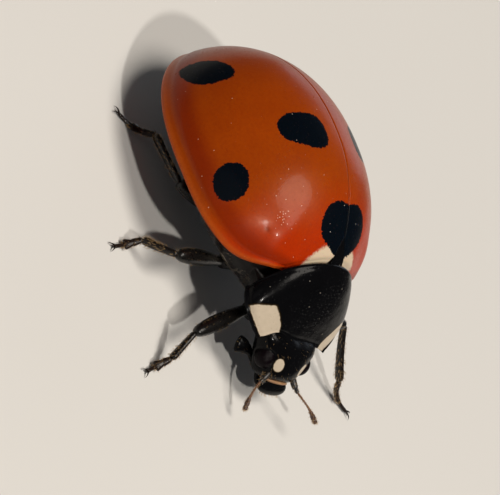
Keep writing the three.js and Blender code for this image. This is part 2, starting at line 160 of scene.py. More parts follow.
class Finish:
    """A material on the Principled shader. Keywords are constants on its sockets. Patterns are sized in
    millimetres."""

    def __init__(self, name, **constants):
        self.material = bpy.data.materials.new(name)
        self.material.use_nodes = True
        self.tree = self.material.node_tree
        self.shader = self.tree.nodes["Principled BSDF"]
        for socket, value in constants.items():
            self.join(value, self.shader.inputs[socket.replace("_", " ")])
        place = self.tree.nodes.new("ShaderNodeTexCoord").outputs["Object"]
        self.place = self.node("Mapping", place, None, None, (1 / MM, 1 / MM, 1 / MM))

    def node(self, kind, *inputs, out=0, **settings):
        made = self.tree.nodes.new("ShaderNode" + kind)
        for key, value in settings.items():
            setattr(made, key, value)
        for socket, value in zip(made.inputs, inputs):
            self.join(value, socket)
        return made.outputs[out]

    def join(self, value, socket):
        """A link from another socket, or a constant. A colour gets its alpha here."""
        if isinstance(value, bpy.types.NodeSocket):
            self.tree.links.new(value, socket)
        elif value is not None:
            socket.default_value = (*value, 1) if socket.type == "RGBA" else value

    def times(self, a, b):
        return self.node("Math", a, b, operation="MULTIPLY")

    def plus(self, a, b):
        return self.node("Math", a, b, operation="ADD")

    def mix(self, share, a, b):
        return self.node("Mix", share, None, None, None, None, None, a, b, out=2, data_type="RGBA")

    def value(self, name):
        return self.node("Attribute", out=2, attribute_name=name)

    def step(self, value, low, high):
        """0 below low and 1 above high, with a smooth rise between them."""
        return self.node("MapRange", value, low, high, 0.0, 1.0, interpolation_type="SMOOTHSTEP")

    def noise(self, scale, detail=2.0, squeeze=(1, 1, 1)):
        """Noise from 0 to 1 with scale bumps to a millimetre."""
        place = self.node("Mapping", self.place, None, None, squeeze)
        return self.node("TexNoise", place, None, scale, detail)

    def wander(self, scale, detail, width):
        """Noise about zero, for an uneven edge."""
        return self.times(self.plus(self.noise(scale, detail), -0.5), width)

    def spread(self, noise, low, high):
        """The middle of a noise's range spread from low to high."""
        return self.node("MapRange", noise, 0.3, 0.7, low, high)

    def pits(self, scale, radius):
        """Round pits, scale to a millimetre: 1 in a pit's middle and 0 from its radius outwards."""
        return self.step(self.node("TexVoronoi", self.place, None, scale), radius * scale, 0.0)

    def specks(self, scale, radius, share):
        """Sparse round specks, scale cells to a millimetre. A cell has one if its random number, near a
        half for most, is under the share."""
        distance = self.node("TexVoronoi", self.place, None, scale)
        chosen = self.node("Math", distance.node.outputs["Color"], share, operation="LESS_THAN")
        return self.times(self.step(distance, radius * scale, 0.5 * radius * scale), chosen)

    def paint(self, colour, roughness=None, height=None):
        """Joins the patterns to the shader, the height through a bump in real size."""
        self.join(colour, self.shader.inputs["Base Color"])
        self.join(roughness, self.shader.inputs["Roughness"])
        if height is not None:
            bump = self.tree.nodes.new("ShaderNodeBump")
            bump.inputs["Distance"].default_value = MM
            self.join(height, bump.inputs["Height"])
            self.join(bump.outputs[0], self.shader.inputs["Normal"])
            self.join(bump.outputs[0], self.shader.inputs["Coat Normal"])
        return self.material


def clamp(values):
    return np.clip(values, 0, 1)


def bell(distance, width):
    return np.exp(-(distance / width) ** 2)


def shares(count):
    return np.linspace(0, 1, count)


def angles(count):
    """Angles once round, as a row."""
    return np.linspace(0, 2 * np.pi, count, endpoint=False)[None]


def flat(rings, value):
    """One value for all points of the rings."""
    return np.full(rings.shape[:2], float(value))


def shade(colour, factor):
    return tuple(np.minimum(factor * np.array(colour), 1))


def curve(u, most_at, base, rise, fall, end):
    """A power curve from the base up to 1, and a superellipse from there to 0 at the tip."""
    front = 1 - (1 - base) * clamp((most_at - u) / most_at) ** rise
    back = clamp(1 - clamp((u - most_at) / (1 - most_at)) ** fall) ** end
    return np.where(u < most_at, front, back)


def dome_width(u):
    return CASE_HALF_WIDTH * curve(u, *WIDTH_CURVE)


def dome_height(u):
    return CASE_HEIGHT * curve(u, *HEIGHT_CURVE)


def dome(u, t, inset=0.0):
    """Point of the wing cases' dome at a share u of the length and t of the half-width: the height falls
    with t as a power of a parabola."""
    width, height = np.maximum(dome_width(u) - inset, 0), np.maximum(dome_height(u) - inset, 0)
    return xyz(width * t, u * CASE_LENGTH, height * clamp(1 - t * t) ** ARCH_POWER)


def closed(rings):
    """The rings with each end shrunk to its middle, so that a skin over them is closed."""
    first, last = (np.broadcast_to(rings[k].mean(0), rings[:1].shape) for k in (0, -1))
    return np.vstack([first, rings, last])


def belly(from_y, to_y, rows):
    """Rings of the trunk: the dome, set in, above, and half an ellipse below that is drawn up in a curve
    at the rear. Each ring of the abdomen swells to its rear edge and steps in, and thin grooves run
    between the breast plates. The second result is above 0 on the white plates."""
    y = np.linspace(from_y, to_y, rows)[:, None]
    u = y / CASE_LENGTH
    over = dome(u, np.sin(np.linspace(-np.pi / 2, np.pi / 2, 40))[None], BELLY_INSET)
    t = np.cos(np.linspace(0, np.pi, 162)[1:-1])[None]
    half = np.maximum(dome_width(u) - BELLY_INSET, BREAST_HALF_WIDTH * (1 - u))
    drawn_up = np.sqrt(1 - clamp((u - 0.55) / 0.45) ** 2.4)
    depth = (0.03 + (0.78 - 0.5 * u ** 1.4) * drawn_up) * np.sqrt(1 - t * t)
    ring = np.searchsorted(RING_EDGES, y, side="right") - 1
    share = (y - RING_EDGES[ring]) / (RING_EDGES[np.minimum(ring + 1, 6)] - RING_EDGES[ring])
    step = np.where(ring >= 0, PLATE_STEP * clamp(share * 1.15) * (1 - clamp(share * 30 - 29)), 0)
    across = 0.03 * bell(np.abs(y[..., None] - THORAX_SEAMS).min(-1), 0.02)
    along = 0.025 * bell(half * t, 0.03) * (y < WAIST)
    depth = depth + (step - across) * np.sqrt(1 - t * t) - along
    rings = closed(np.hstack([over, xyz(half * t, y, -depth)]))
    x, y, z = np.moveaxis(rings, -1, 0)
    to_plate = np.hypot(y - FLANK_PLATE[0], (z - FLANK_PLATE[1]) * 1.1)
    return rings, FLANK_PLATE_RADIUS - to_plate - 0.3 * (np.abs(x) < 0.9)


def black_shell(name, dark, dull, pit_scale, marks, pale, **constants):
    """Glossy black hard skin with fine pits and a few pale specks. Marks with a thin amber edge are where
    the attribute named is above 0."""
    made = Finish(name, **constants)
    colour = made.mix(made.noise(3.0), dark, shade(dark, 1.8))
    pits = made.pits(pit_scale, PIT_RADIUS)
    edge = made.plus(made.value(marks), made.wander(24.0, 2.0, 0.03))
    mottled = made.mix(made.noise(7.0, 4.0), pale, shade(pale, 0.8))
    stained = made.mix(made.times(pits, 0.35), mottled, PIT_BROWN)
    colour = made.mix(made.times(made.step(edge, -0.03, 0.0), 0.2), colour, AMBER)
    colour = made.mix(made.step(edge, -0.008, 0.01), colour, stained)
    # Pale specks: partly dust, partly painted glints
    colour = made.mix(made.times(made.specks(*SHELL_SPECKS), 0.55), colour, SPECK_GREY)
    grain = made.noise(30.0, 3.0)
    height = made.plus(made.times(grain, 0.0012), made.times(pits, -PIT_DEPTH))
    swell = made.times(made.noise(1.6), 0.02)
    return made.paint(colour, made.spread(grain, dull - 0.06, dull + 0.08), made.plus(height, swell))


underside = black_shell("underside black", (0.004, 0.003, 0.003), 0.42, 14.0, "plate",
    (0.62, 0.56, 0.46), Specular_IOR_Level=0.25)
breast, breast_plate = belly(0.0, WAIST, 110)
rear, rear_plate = belly(WAIST - BELLY_OVERLAP, BELLY_END, 170)
piece("thorax_skin", [skin(in_trunk(breast), plate=breast_plate)], underside, "underside_black", "thorax")
piece("abdomen_skin", [skin(in_trunk(rear), plate=rear_plate - 9)], underside, "underside_black", "abdomen")

# ---------- wing cases
# Two hard domed shells that meet in a straight seam and cover the folded wings. They are orange red,
# glossy and finely pitted, with black spots, a cream mark at the base and a raised rim that folds under.

SIDES = {"right": -1, "left": 1}
SEAM_GAP = 0.003
CASE_WALL = 0.1
CASE_FRONT = 0.0  # the cases start here, and a little further back beside the neck shield
RIM_RADIUS = 0.03
FOLD_WIDTH = 0.4  # of the rim's fold on the underside
SCUTELLUM_HALF_WIDTH = 0.2
SCUTELLUM_LENGTH = 0.36
TOP_COLUMNS = 130
CASE_ROWS = 250

# Spots as outlines of (distance from the seam over the shell, distance from the front edge)
SPOTS = {
    "shoulder": [(-0.4, 0.02), (0.12, 0.04), (0.42, 0.2), (0.68, 0.36), (0.78, 0.6), (0.66, 0.86),
        (0.36, 0.98), (0.1, 0.94), (-0.4, 0.84)],
    "side": [(2.44, 1.54), (2.45, 1.86), (2.68, 2.05), (2.98, 2.04), (3.19, 1.86), (3.18, 1.48),
        (2.88, 1.28), (2.56, 1.32)],
    "middle": [(0.38, 2.28), (0.44, 2.68), (0.84, 2.8), (1.36, 2.78), (1.6, 2.54), (1.51, 2.2),
        (1.1, 2.05), (0.78, 1.94), (0.46, 2.02)],
    "rear": [(1.52, 4.1), (1.5, 4.44), (1.76, 4.62), (2.28, 4.56), (2.52, 4.28), (2.48, 3.92),
        (2.08, 3.84), (1.7, 3.9)],
}
LEFT_MIDDLE_SHIFT = 0.22  # the left middle spot lies this much further out
CREAM_MARK = [(-0.3, -0.6), (1.3, -0.6), (1.06, -0.04), (0.74, 0.12), (0.46, 0.24), (0.02, 0.2)]
SHOULDER = (1.5, 0.42)  # x and y of the swelling over the wing's root
# A scar on the right case: the swelling round it, its dent, which has painted shade in it, and the pale
# specks beside it, painted glints that crowd round the highlight
SCAR = (1.66, 0.54, 0.84)
SCAR_DENT = (1.8, 0.62, 0.81)
# Painted glints: the pale specks crowd round these two places, where the highlight falls
GLINT_CLUSTER = (1.46, 0.84, 1.04)
GLINT_CLOUD = (1.26, 1.39, 1.19)
# Share of pale specks everywhere on the cases: partly dust, partly painted glints
DUST_AND_GLINTS_ALL_OVER = 0.085

CASE_ORANGES = (0.28, 0.036, 0.001), (0.36, 0.054, 0.0015)
BASE_RED = (0.4, 0.026, 0.001)
BAND_RED = (0.2, 0.013, 0.001)
BEAD_ORANGE = (0.42, 0.075, 0.008)
# painted shade that darkens the scar's dent
DENT_SHADE_BROWN = (0.03, 0.006, 0.002)
FLECK_RED = (0.14, 0.008, 0.001)
MARK_CREAM = (0.62, 0.49, 0.35)
SPOT_BLACK = (0.0014, 0.0032, 0.0062)
PIT_RED = (0.05, 0.004, 0.001)
# pale specks: painted glints round the highlight, and dust elsewhere
DUST_AND_GLINT_PALE = (0.85, 0.74, 0.6)
CASE_GLOSS, SPOT_GLOSS = 0.12, 0.04


def depth_inside(x, y, corners):
    """How deep points lie inside an outline that is rounded by cutting its corners three times, each cut a
    quarter of the way along a side: the distance to its nearest side, which is negative for a point that
    a line drawn sideways from it shows to be outside."""
    points = np.array(corners)
    for _ in range(3):
        onward = np.roll(points, -1, 0)
        points = np.stack([0.75 * points + 0.25 * onward, 0.25 * points + 0.75 * onward], 1).reshape(-1, 2)
    nearest, inside = np.full(x.shape, np.inf), np.zeros(x.shape, bool)
    for (x0, y0), (x1, y1) in zip(points, np.roll(points, -1, 0)):
        dx, dy = x1 - x0, y1 - y0
        share = clamp(((x - x0) * dx + (y - y0) * dy) / (dx * dx + dy * dy))
        nearest = np.minimum(nearest, np.hypot(x - x0 - share * dx, y - y0 - share * dy))
        if dy:
            inside ^= ((y0 > y) != (y1 > y)) & (x < x0 + (y - y0) * dx / dy)
    return np.where(inside, nearest, -nearest)


def length(vectors):
    return np.linalg.norm(vectors, axis=-1)


def unit(vectors):
    return vectors / np.maximum(length(vectors)[..., None], 1e-12)


def upward_normals(grid):
    """Normals of a grid of points, turned so that most of them point up."""
    normals = unit(np.cross(np.gradient(grid, axis=0), np.gradient(grid, axis=1)))
    return normals * np.where(normals[..., 2:].mean() < 0, -1, 1)


def near(points, place, width):
    """1 at a place, falling off round it as a bell."""
    return bell(length(points - place), width)


def scutellum_edge(y):
    """Half-width of the scutellum at y: a triangle with slightly bowed sides."""
    return SCUTELLUM_HALF_WIDTH * clamp(1 - y / SCUTELLUM_LENGTH) ** 0.8


def wing_case(side):
    """Rings of one case. The top runs from the seam over the dome to the rim, with a gutter inside a
    raised bead; below, the edge turns round, folds in flat and goes back up inside the wall."""
    s = shares(CASE_ROWS)
    u = (0.35 * s + 0.65 * (0.5 - 0.5 * np.cos(np.pi * s)))[:, None]
    start = np.maximum(SEAM_GAP, scutellum_edge(u * CASE_LENGTH) + 0.012)
    k0 = np.arcsin(clamp(start / np.maximum(dome_width(u), 1e-6))) / (np.pi / 2)
    t = np.sin(np.pi / 2 * (k0 + (1 - k0) * shares(TOP_COLUMNS)[None]))
    top = dome(u, t)
    over = np.cumsum(length(np.diff(top, axis=1, prepend=top[:, :1])), 1)
    to_rim = over[:, -1:] - over
    from_seam = over + start
    right = side < 0
    bead = 0.01 * bell(to_rim - 0.03, 0.05)
    gutter = 0.014 * bell(to_rim - 0.19, 0.08)
    relief = bead - gutter - 0.004 * bell(over, 0.015) - 0.05 * bell(top[..., 1], 0.05)
    relief += 0.06 * near(top[..., :2], SHOULDER, 0.3)
    # The dent's bell sinks the dent a little and also marks where painted shade goes into it
    dent_and_shade = right * near(top, SCAR_DENT, 0.05)
    relief += 0.004 * right * near(top, SCAR, 0.12) - 0.008 * dent_and_shade
    top = top + upward_normals(top) * (relief * clamp(dome_width(u) / 0.8))[..., None]
    raised = 0.42 * bell(np.maximum(u * CASE_LENGTH - 0.02, 0), 0.3) * t ** 6
    top[..., 1] = np.maximum(top[..., 1], CASE_FRONT + 0.06 * t ** 4)
    top[..., 2] += raised
    rings = np.hstack([top, case_underside(u, t, top)])
    rings = np.vstack([np.hstack([top[:1], top[:1, ::-1]]), rings])
    shift = {"middle": 0 if right else LEFT_MIDDLE_SHIFT}
    black = np.max([depth_inside(from_seam - shift.get(spot, 0), top[..., 1], corners)
                    for spot, corners in SPOTS.items()], 0)
    cream = depth_inside(from_seam, top[..., 1], CREAM_MARK)
    # Painted glints: pale specks gather round the highlight near the scar
    dust_and_glints = 0.6 * near(top, GLINT_CLUSTER, 0.25) + 0.13 * near(top, GLINT_CLOUD, 0.6)
    values = {"black": black, "cream": cream, "to_rim": to_rim, "along": u + 0 * t,
              "dust_and_glints": DUST_AND_GLINTS_ALL_OVER + right * dust_and_glints, "dent_and_shade": dent_and_shade}
    for key, value in values.items():
        value = np.vstack([value[:1], value])
        values[key] = np.hstack([value, value[:, ::-1]])
    return skin(in_trunk(rings * (side, 1, 1)), **values)


def case_underside(u, t, top):
    """The rim's turn as a quarter circle, the fold as a flat strip, and the inner wall as a smaller dome."""
    width = dome_width(u)
    radius = np.minimum(RIM_RADIUS, 0.3 * width)
    turn = np.linspace(0, np.pi / 2, 9)[None, 1:]
    y, rim = top[:, -1:, 1], top[:, -1:, 2]
    edge = xyz(width - radius + radius * np.cos(turn), y, rim - radius * np.sin(turn))
    fold = FOLD_WIDTH * (width / CASE_HALF_WIDTH) ** 1.2
    share = shares(23)[None, 1:]
    hollow = rim + (0.05 * np.sin(np.pi * share) - radius) * clamp(width)
    strip = xyz(width - radius - fold * share, y, hollow)
    count = TOP_COLUMNS - edge.shape[1] - strip.shape[1]
    back = np.sin(np.linspace(np.pi / 2, 0, count))[None]
    wall = CASE_WALL + 0.35 * np.exp(-u / 0.012)
    inner = dome(u, back, np.minimum(wall, 0.6 * width))
    most = np.maximum(width - radius - fold, 0)
    inner[..., 0] = top[:, :1, 0] + (most - top[:, :1, 0]) * back
    inner[..., 1] = np.maximum(inner[..., 1], CASE_FRONT)
    inner[..., 2] = np.clip(inner[..., 2], hollow[:, -1:], top[:, :1, 2] - 0.02)
    inner[-1], edge[-1], strip[-1] = top[-1, -1], top[-1, -1], top[-1, -1]
    return np.hstack([edge, strip, inner])


def wing_case_finish():
    """Orange red that is deeper at the base and in a band inside the rim, under a clear glossy skin."""
    made = Finish("wing case red", Coat_Weight=0.08, Coat_Roughness=0.09, Specular_Tint=(1, 0.8, 0.6),
                  Subsurface_Weight=0.12, Subsurface_Radius=(0.3 * MM, 0.08 * MM, 0.03 * MM),
                  Subsurface_Scale=1.0)
    to_rim, along = made.value("to_rim"), made.value("along")
    cloud = made.noise(1.3, 3.0)
    base = made.step(made.plus(along, made.times(cloud, 0.1)), 0.34, 0.08)
    colour = made.mix(base, made.mix(cloud, *CASE_ORANGES), BASE_RED)
    band = made.times(made.step(to_rim, 0.16, 0.32), made.step(to_rim, 0.85, 0.45))
    colour = made.mix(made.times(band, 0.75), colour, BAND_RED)
    colour = made.mix(made.times(made.step(to_rim, 0.15, 0.06), 0.7), colour, BEAD_ORANGE)
    # Painted shade in the scar's dent
    colour = made.mix(made.value("dent_and_shade"), colour, DENT_SHADE_BROWN)
    speckle = made.noise(16.0, 3.0)
    colour = made.mix(made.node("MapRange", speckle, 0.35, 0.75, 0.0, 0.22), colour, FLECK_RED)
    uneven = made.wander(20.0, 3.0, 0.11)
    cream = made.step(made.plus(made.value("cream"), uneven), -0.05, 0.03)
    colour = made.mix(cream, colour, MARK_CREAM)
    black = made.step(made.plus(made.value("black"), uneven), -0.006, 0.008)
    colour = made.mix(black, colour, SPOT_BLACK)
    gloss = made.node("MapRange", black, 0.0, 1.0, CASE_GLOSS, SPOT_GLOSS)
    made.join(gloss, made.shader.inputs["Specular IOR Level"])
    pits = made.pits(15.0, 0.014)
    colour = made.mix(made.times(pits, 0.25), colour, PIT_RED)
    # Pale specks, partly dust and partly painted glints, crowded round the highlight
    colour = made.mix(made.times(made.specks(22.0, 0.011, made.value("dust_and_glints")), 0.8), colour, DUST_AND_GLINT_PALE)
    ripple, grain = made.times(made.noise(2.2), 0.006), made.times(made.noise(45.0), 0.0008)
    height = made.plus(made.plus(ripple, grain), made.times(pits, -0.0035))
    return made.paint(colour, made.spread(speckle, 0.27, 0.36), height)


case_red = wing_case_finish()
for name, side in SIDES.items():
    piece(f"wing_case_{name}", [wing_case(side)], case_red, "wing_case_red", f"elytron_{name}")

# ---------- scutellum
# The small black triangle of hard skin between the bases of the wing cases, part of the thorax.

glossy_black = black_shell("shell black", (0.0018, 0.0018, 0.0022), 0.2, 15.0, "white",
    (0.57, 0.48, 0.37), Coat_Weight=0.09, Coat_Roughness=0.1, Specular_IOR_Level=0.04)


def scutellum():
    """A plate over the dome's own surface, as wide as the triangle allows, folded back under itself."""
    y = np.linspace(-0.04, SCUTELLUM_LENGTH, 40)[:, None]
    half = scutellum_edge(np.maximum(y, 0.0))
    x = half * np.linspace(-1, 1, 41)[None]
    z = np.interp(np.maximum(y, 0), shares(50) * CASE_LENGTH, dome_height(shares(50)))
    across = x / np.maximum(half, 1e-9)
    crown = 0.006 * (1 - across ** 2) * (half > 0)
    top = xyz(x, y, z - 0.05 * x * x - 0.012 + crown - 0.05 * bell(y + 0.04, 0.05))
    depth = 0.12 * np.sqrt(clamp(1 - across ** 8))
    depth[[0, -1]] = 0
    low = top - depth[..., None] * (0, 0, 1)
    rings = np.hstack([top, low[:, -2:0:-1]])
    return skin(in_trunk(rings), white=flat(rings, -1))


piece("scutellum_plate", [scutellum()], glossy_black, "shell_black", "scutellum")

# ---------- neck shield and neck ring
# The shield (pronotum) is one glossy black plate over the neck, arched from side to side, with ivory
# front corners and fine pits. Below it the neck ring closes round the sockets of the front legs.

SHIELD_HALF_WIDTH = 1.52
SHIELD_FRONT_HALF_WIDTH = 1.2
SHIELD_LENGTH = 1.7
SHIELD_BULGE = 0.14
SHIELD_SIDE_BULGE = 0.32
SHIELD_WALL = 0.3
SHIELD_REAR, SHIELD_FRONT = np.array([-0.03, 1.02]), np.array([-0.96, -0.46])
SHIELD_REAR_CORNER, SHIELD_FRONT_CORNER = np.array([0.04, -0.2]), np.array([-0.95, -0.62])
# Ivory corner as an outline of (distance from the middle line, share of the length from the rear)
IVORY_CORNER = [(2.3, 0.56), (1.74, 0.5), (1.58, 0.5), (1.36, 0.54), (1.2, 0.54), (1.1, 0.62), (1.0, 0.68),
                (0.9, 0.77), (0.8, 0.84), (0.72, 0.96), (0.7, 1.2), (2.3, 1.2)]
IVORY_FROM_SIDE = 0.09
LEFT_IVORY_SHIFT = 0.14  # the left corner is narrower by this
NECK_LOW = -0.97


def shield_point(v, t):
    """Point of the shield at a share v from rear to front and t from right to left. The middle and side
    lines bow out most near the rear edge, and the arch between them is a power of a parabola. A high
    power of t rounds the rear corners, and a bell draws the front edge back where the right side of the
    head comes out."""
    v = v + 0.1 * np.abs(t) ** 14 * (1 - v) ** 4 - 0.085 * bell(t + 0.55, 0.28) * v ** 6
    share = clamp(v)
    swell = np.sin(np.pi * share)
    bow = (share ** 0.4 * (1 - share) / 0.433)[..., None]
    slope = unit(SHIELD_FRONT - SHIELD_REAR)
    out = np.array([slope[1], -slope[0]])
    middle = SHIELD_REAR + (SHIELD_FRONT - SHIELD_REAR) * v[..., None] + out * SHIELD_BULGE * bow
    corner = SHIELD_REAR_CORNER + (SHIELD_FRONT_CORNER - SHIELD_REAR_CORNER) * v[..., None]
    corner = corner + (0, 0.06) * swell[..., None]
    width = SHIELD_HALF_WIDTH + (SHIELD_FRONT_HALF_WIDTH - SHIELD_HALF_WIDTH) * v + SHIELD_SIDE_BULGE * swell
    yz = corner + (middle - corner) * clamp(1 - t * t)[..., None] ** 0.6
    return xyz(width * t, yz[..., 0], yz[..., 1])


def shield():
    """The outer face with a fine bead round its edge, and the same face set in by the wall, which thins
    to nothing at the edge as a quarter of an ellipse."""
    v = (0.5 - 0.5 * np.cos(np.linspace(0, np.pi, 130)))[:, None]
    t = np.sin(np.linspace(-np.pi / 2, np.pi / 2, 240))[None]
    v, t = np.broadcast_arrays(v, t)
    top = shield_point(v, t)
    normals = upward_normals(top)
    across = np.cumsum(length(np.diff(top, axis=1, prepend=top[:, :1])), 1)
    to_side = np.minimum(across, across[:, -1:] - across)
    to_end = np.minimum(v, 1 - v) * SHIELD_LENGTH
    relief = 0.015 * bell(to_side - 0.02, 0.03) - 0.015 * bell(to_side - 0.1, 0.05)
    relief += 0.005 * bell(to_end - 0.025, 0.03) - 0.004 * bell(to_end - 0.08, 0.04)
    top = top + normals * relief[..., None]
    edge = clamp(np.minimum(to_side, to_end) / 0.12)
    wall = SHIELD_WALL * np.sqrt(1 - (1 - edge) ** 2)
    wall[[0, -1]], wall[:, [0, -1]] = 0, 0
    low = top - normals * wall[..., None]
    x = top[..., 0]
    ivory = depth_inside(np.abs(x) - LEFT_IVORY_SHIFT * (x > 0), v, IVORY_CORNER)
    ivory = np.minimum(ivory, to_side - IVORY_FROM_SIDE)
    rings = np.hstack([top, low[:, -2:0:-1]])
    return skin(in_trunk(rings), white=np.hstack([ivory, ivory[:, -2:0:-1]]))


def neck_ring():
    """Ovals from the head's socket back to the thorax, drawn in at the front edge."""
    share = shares(50)[:, None]
    turn = angles(96)
    half = (0.88 + 0.26 * share) * np.sqrt(1 - (1 - clamp(share * 5)) ** 2 * 0.6)
    high = -0.38 + 0.95 * share
    middle, tall = (NECK_LOW + high) / 2, (high - NECK_LOW) / 2
    ridge = 0.04 * bell(share - 0.5, 0.2) * bell(np.sin(turn) + 1, 0.25)
    z = middle + (tall + ridge) * np.sin(turn)
    rings = closed(xyz(half * np.cos(turn), -0.74 + 0.78 * share, z))
    return skin(in_trunk(rings), plate=flat(rings, -1))


piece("neck_shield", [shield()], glossy_black, "shell_black", "pronotum")
piece("neck_ring", [neck_ring()], underside, "underside_black", "prothorax")

# ---------- head
# A short black capsule of hard skin sunk into the shield, with two ivory marks between the eyes. Its
# front edge, the clypeus, is cut off straight, and a strip of tan skin joins the lip to it.

FACE_TILT = np.radians(53)
FACE_ORIGIN = (0, -0.92, -0.43)
HEAD_HALF_WIDTH = 1.0
HEAD_HALF_DEPTH = 0.4
EYE_RADII = np.array([0.21, 0.24, 0.21])
EYE_PLACE = np.array([0.64, -0.5, -0.11])
FACE_MARK = (0.415, -0.56)  # middle of an ivory mark
FACE_MARK_RADII = (0.15, 0.112)
FACE_MARK_TURN = np.radians(60)


def in_face(points):
    """Tilted as the face is and moved to where it leaves the shield."""
    return in_trunk(tipped(points, FACE_TILT) + FACE_ORIGIN)


def rounded(share, power):
    """1 along the middle and 0 at the two ends, which it rounds off: a superellipse."""
    return np.sqrt(clamp(1 - np.abs(2 * share - 1) ** power))


def skull():
    """Superellipse rings from the crown to the mouth, with a groove round each eye. The crown sinks under
    the shield with a smooth step, further on the left, as the head is turned a little."""
    s = (0.5 - 0.5 * np.cos(np.linspace(0, np.pi, 150)))[:, None]
    turn = angles(200)
    fullness = np.sqrt(np.maximum(0.05, 1 - np.abs(2 * s - 1) ** 3))
    ends = rounded(s, 18)
    half = HEAD_HALF_WIDTH * (0.35 + 0.65 * fullness) * (1 - 0.5 * s ** 1.6) * ends
    half = half + 0.1 * bell(s - 0.93, 0.1) * ends
    tall = HEAD_HALF_DEPTH * (0.4 + 0.6 * fullness) * ends
    cos, sin = np.cos(turn), np.sin(turn)
    x = half * np.sign(cos) * np.abs(cos) ** 0.86
    y = 0.3 - 1.28 * s
    step = clamp((y + 0.28 - 0.14 * clamp(-x / 0.9)) / 0.6)
    crown = 1 - 0.9 * (sin > 0) * step * step * (3 - 2 * step)
    z = tall * crown * np.sign(sin) * np.abs(sin) ** 0.86 - 0.2
    from_eye = (xyz(np.abs(x), y, z) - EYE_PLACE) / EYE_RADII
    front = sin > 0
    relief = -0.012 * bell(length(from_eye) - 1.08, 0.07)
    relief = relief - 0.03 * front * bell(y + 0.9, 0.05) * bell(x, 0.7)
    relief = relief + 0.02 * front * bell(y + 0.35, 0.3) * bell(x, 0.35)
    rings = xyz(x, y, z) + xyz(cos, 0, sin) * (relief * ends)[..., None]
    a, b = np.abs(x) - FACE_MARK[0], y - FACE_MARK[1]
    cos_turn, sin_turn = np.cos(FACE_MARK_TURN), np.sin(FACE_MARK_TURN)
    mark = 1 - np.hypot((a * cos_turn + b * sin_turn) / FACE_MARK_RADII[0],
                        (b * cos_turn - a * sin_turn) / FACE_MARK_RADII[1])
    return rings, np.where(front, mark * 0.16, -1)


def ball(centre, radii, rows=48, around=64, power=1.0):
    """Rings of an ellipsoid, pole to pole along x; a power under 1 squares it off."""
    tip = np.linspace(-np.pi / 2, np.pi / 2, rows)[:, None]
    turn = angles(around)
    wide = np.clip(np.cos(tip), 1e-15, 1) ** power
    return centre + xyz(np.sin(tip), wide * np.cos(turn), wide * np.sin(turn)) * radii


head_rings, head_marks = skull()
piece("head_capsule", [skin(in_face(head_rings), white=head_marks)], glossy_black, "shell_black", "head")
soft = Finish("tan joint skin", Roughness=0.5, Subsurface_Weight=0.1, Subsurface_Scale=0.1 * MM)
tan = soft.mix(soft.noise(12.0, 3.0), (0.42, 0.24, 0.12), (0.24, 0.11, 0.05))
tan_skin = soft.paint(tan, height=soft.times(soft.noise(20.0, 2.0, (1, 3, 3)), 0.01))
lip_joint = ball((0, -0.93, -0.12), (0.38, 0.06, 0.2), power=0.7)
piece("lip_joint", [skin(in_face(lip_joint))], tan_skin, "feeler_brown")

# ---------- eyes
# Compound eyes: black domes with a purple cast, made of some hundreds of hard clear facets.

FACETS = 800
FACET_DEPTH = 0.006


def eye(side):
    """An ellipsoid with swelling facets: points of a sunflower spiral round the ball are their middles,
    and the height falls with the square of the angle to them."""
    rings = ball((0, 0, 0), (1, 1, 1), 120, 160)
    order = np.arange(FACETS) + 0.5
    polar, turn = np.arccos(1 - 2 * order / FACETS), np.pi * (1 + 5 ** 0.5) * order
    middles = xyz(np.cos(turn) * np.sin(polar), np.sin(turn) * np.sin(polar), np.cos(polar))
    nearest = np.clip((rings.reshape(-1, 3) @ middles.T).max(1), -1, 1).reshape(rings.shape[:2])
    swell = 1 - FACET_DEPTH / EYE_RADII[0] * (np.arccos(nearest) / np.sqrt(4 / FACETS)) ** 2
    centre = EYE_PLACE * (side, 1, 1)
    return skin(in_face(centre + rings * swell[..., None] * EYE_RADII))


clear = Finish("eye dark", Coat_Weight=0.05, Coat_Roughness=0.12, Specular_IOR_Level=0.05)
purple = clear.mix(clear.noise(5.0), (0.0018, 0.001, 0.0016), (0.0045, 0.002, 0.0033))
eye_dark = clear.paint(purple, clear.spread(clear.noise(40.0), 0.2, 0.3))
for name, side in SIDES.items():
    piece(f"eye_dome_{name}", [eye(side)], eye_dark, "eye_dark", f"eye_{name}")

# ---------- lip and jaws
# The lip is a smooth black flap hinged on the tan skin. Behind it the two jaws meet: curved, pointed
# and black.


def bezier(corners, share):
    """Smooth path drawn by its corner points: their weighted sum with the Bernstein weights."""
    corners = np.asarray(corners, float)
    share = np.asarray(share, float)[:, None]
    degree = len(corners) - 1
    choose = np.cumprod([1.0] + [(degree - k) / (k + 1) for k in range(degree)])
    return sum(choose[k] * share ** k * (1 - share) ** (degree - k) * corners[k] for k in range(degree + 1))


def limb(path, wide, deep, up=(0, 0, 1), around=32):
    """Rings round a path: ellipses square to it, wide sideways and deep along up."""
    along = unit(np.gradient(path, axis=0))
    side = unit(np.cross(along, np.asarray(up, float)))
    top = np.cross(side, along)
    turn = angles(around)[..., None]
    wide, deep = (np.broadcast_to(size, len(path))[:, None, None] for size in (wide, deep))
    return path[:, None] + wide * np.cos(turn) * side[:, None] + deep * np.sin(turn) * top[:, None]


def jaw(side):
    """A curved cone from the side of the mouth to its middle."""
    share = shares(50)
    corners = np.array([(0.22, -0.86, -0.36), (0.25, -1.12, -0.36), (0.01, -1.2, -0.3)]) * (side, 1, 1)
    girth = rounded(share, 30) * (1 - 0.75 * share)
    return limb(bezier(corners, share), 0.1 * girth, 0.08 * girth)


def black_face_piece(name, rings, *replaced):
    piece(name, [skin(in_face(rings), white=flat(rings, -1))], glossy_black, "shell_black", *replaced)


lip = ball((0, -1.06, -0.1), (0.46, 0.19, 0.13), power=0.75)
black_face_piece("lip", lip, "labrum")
for name, side in SIDES.items():
    black_face_piece(f"jaw_{name}", jaw(side), f"mandible_{name}")

# ---------- feelers and mouth feelers
# A feeler has eleven joints: a stout black scape, a ball joint, six thin brown joints and a dark club
# of three, with golden hairs. The mouth feelers are black and end in a broad hatchet.

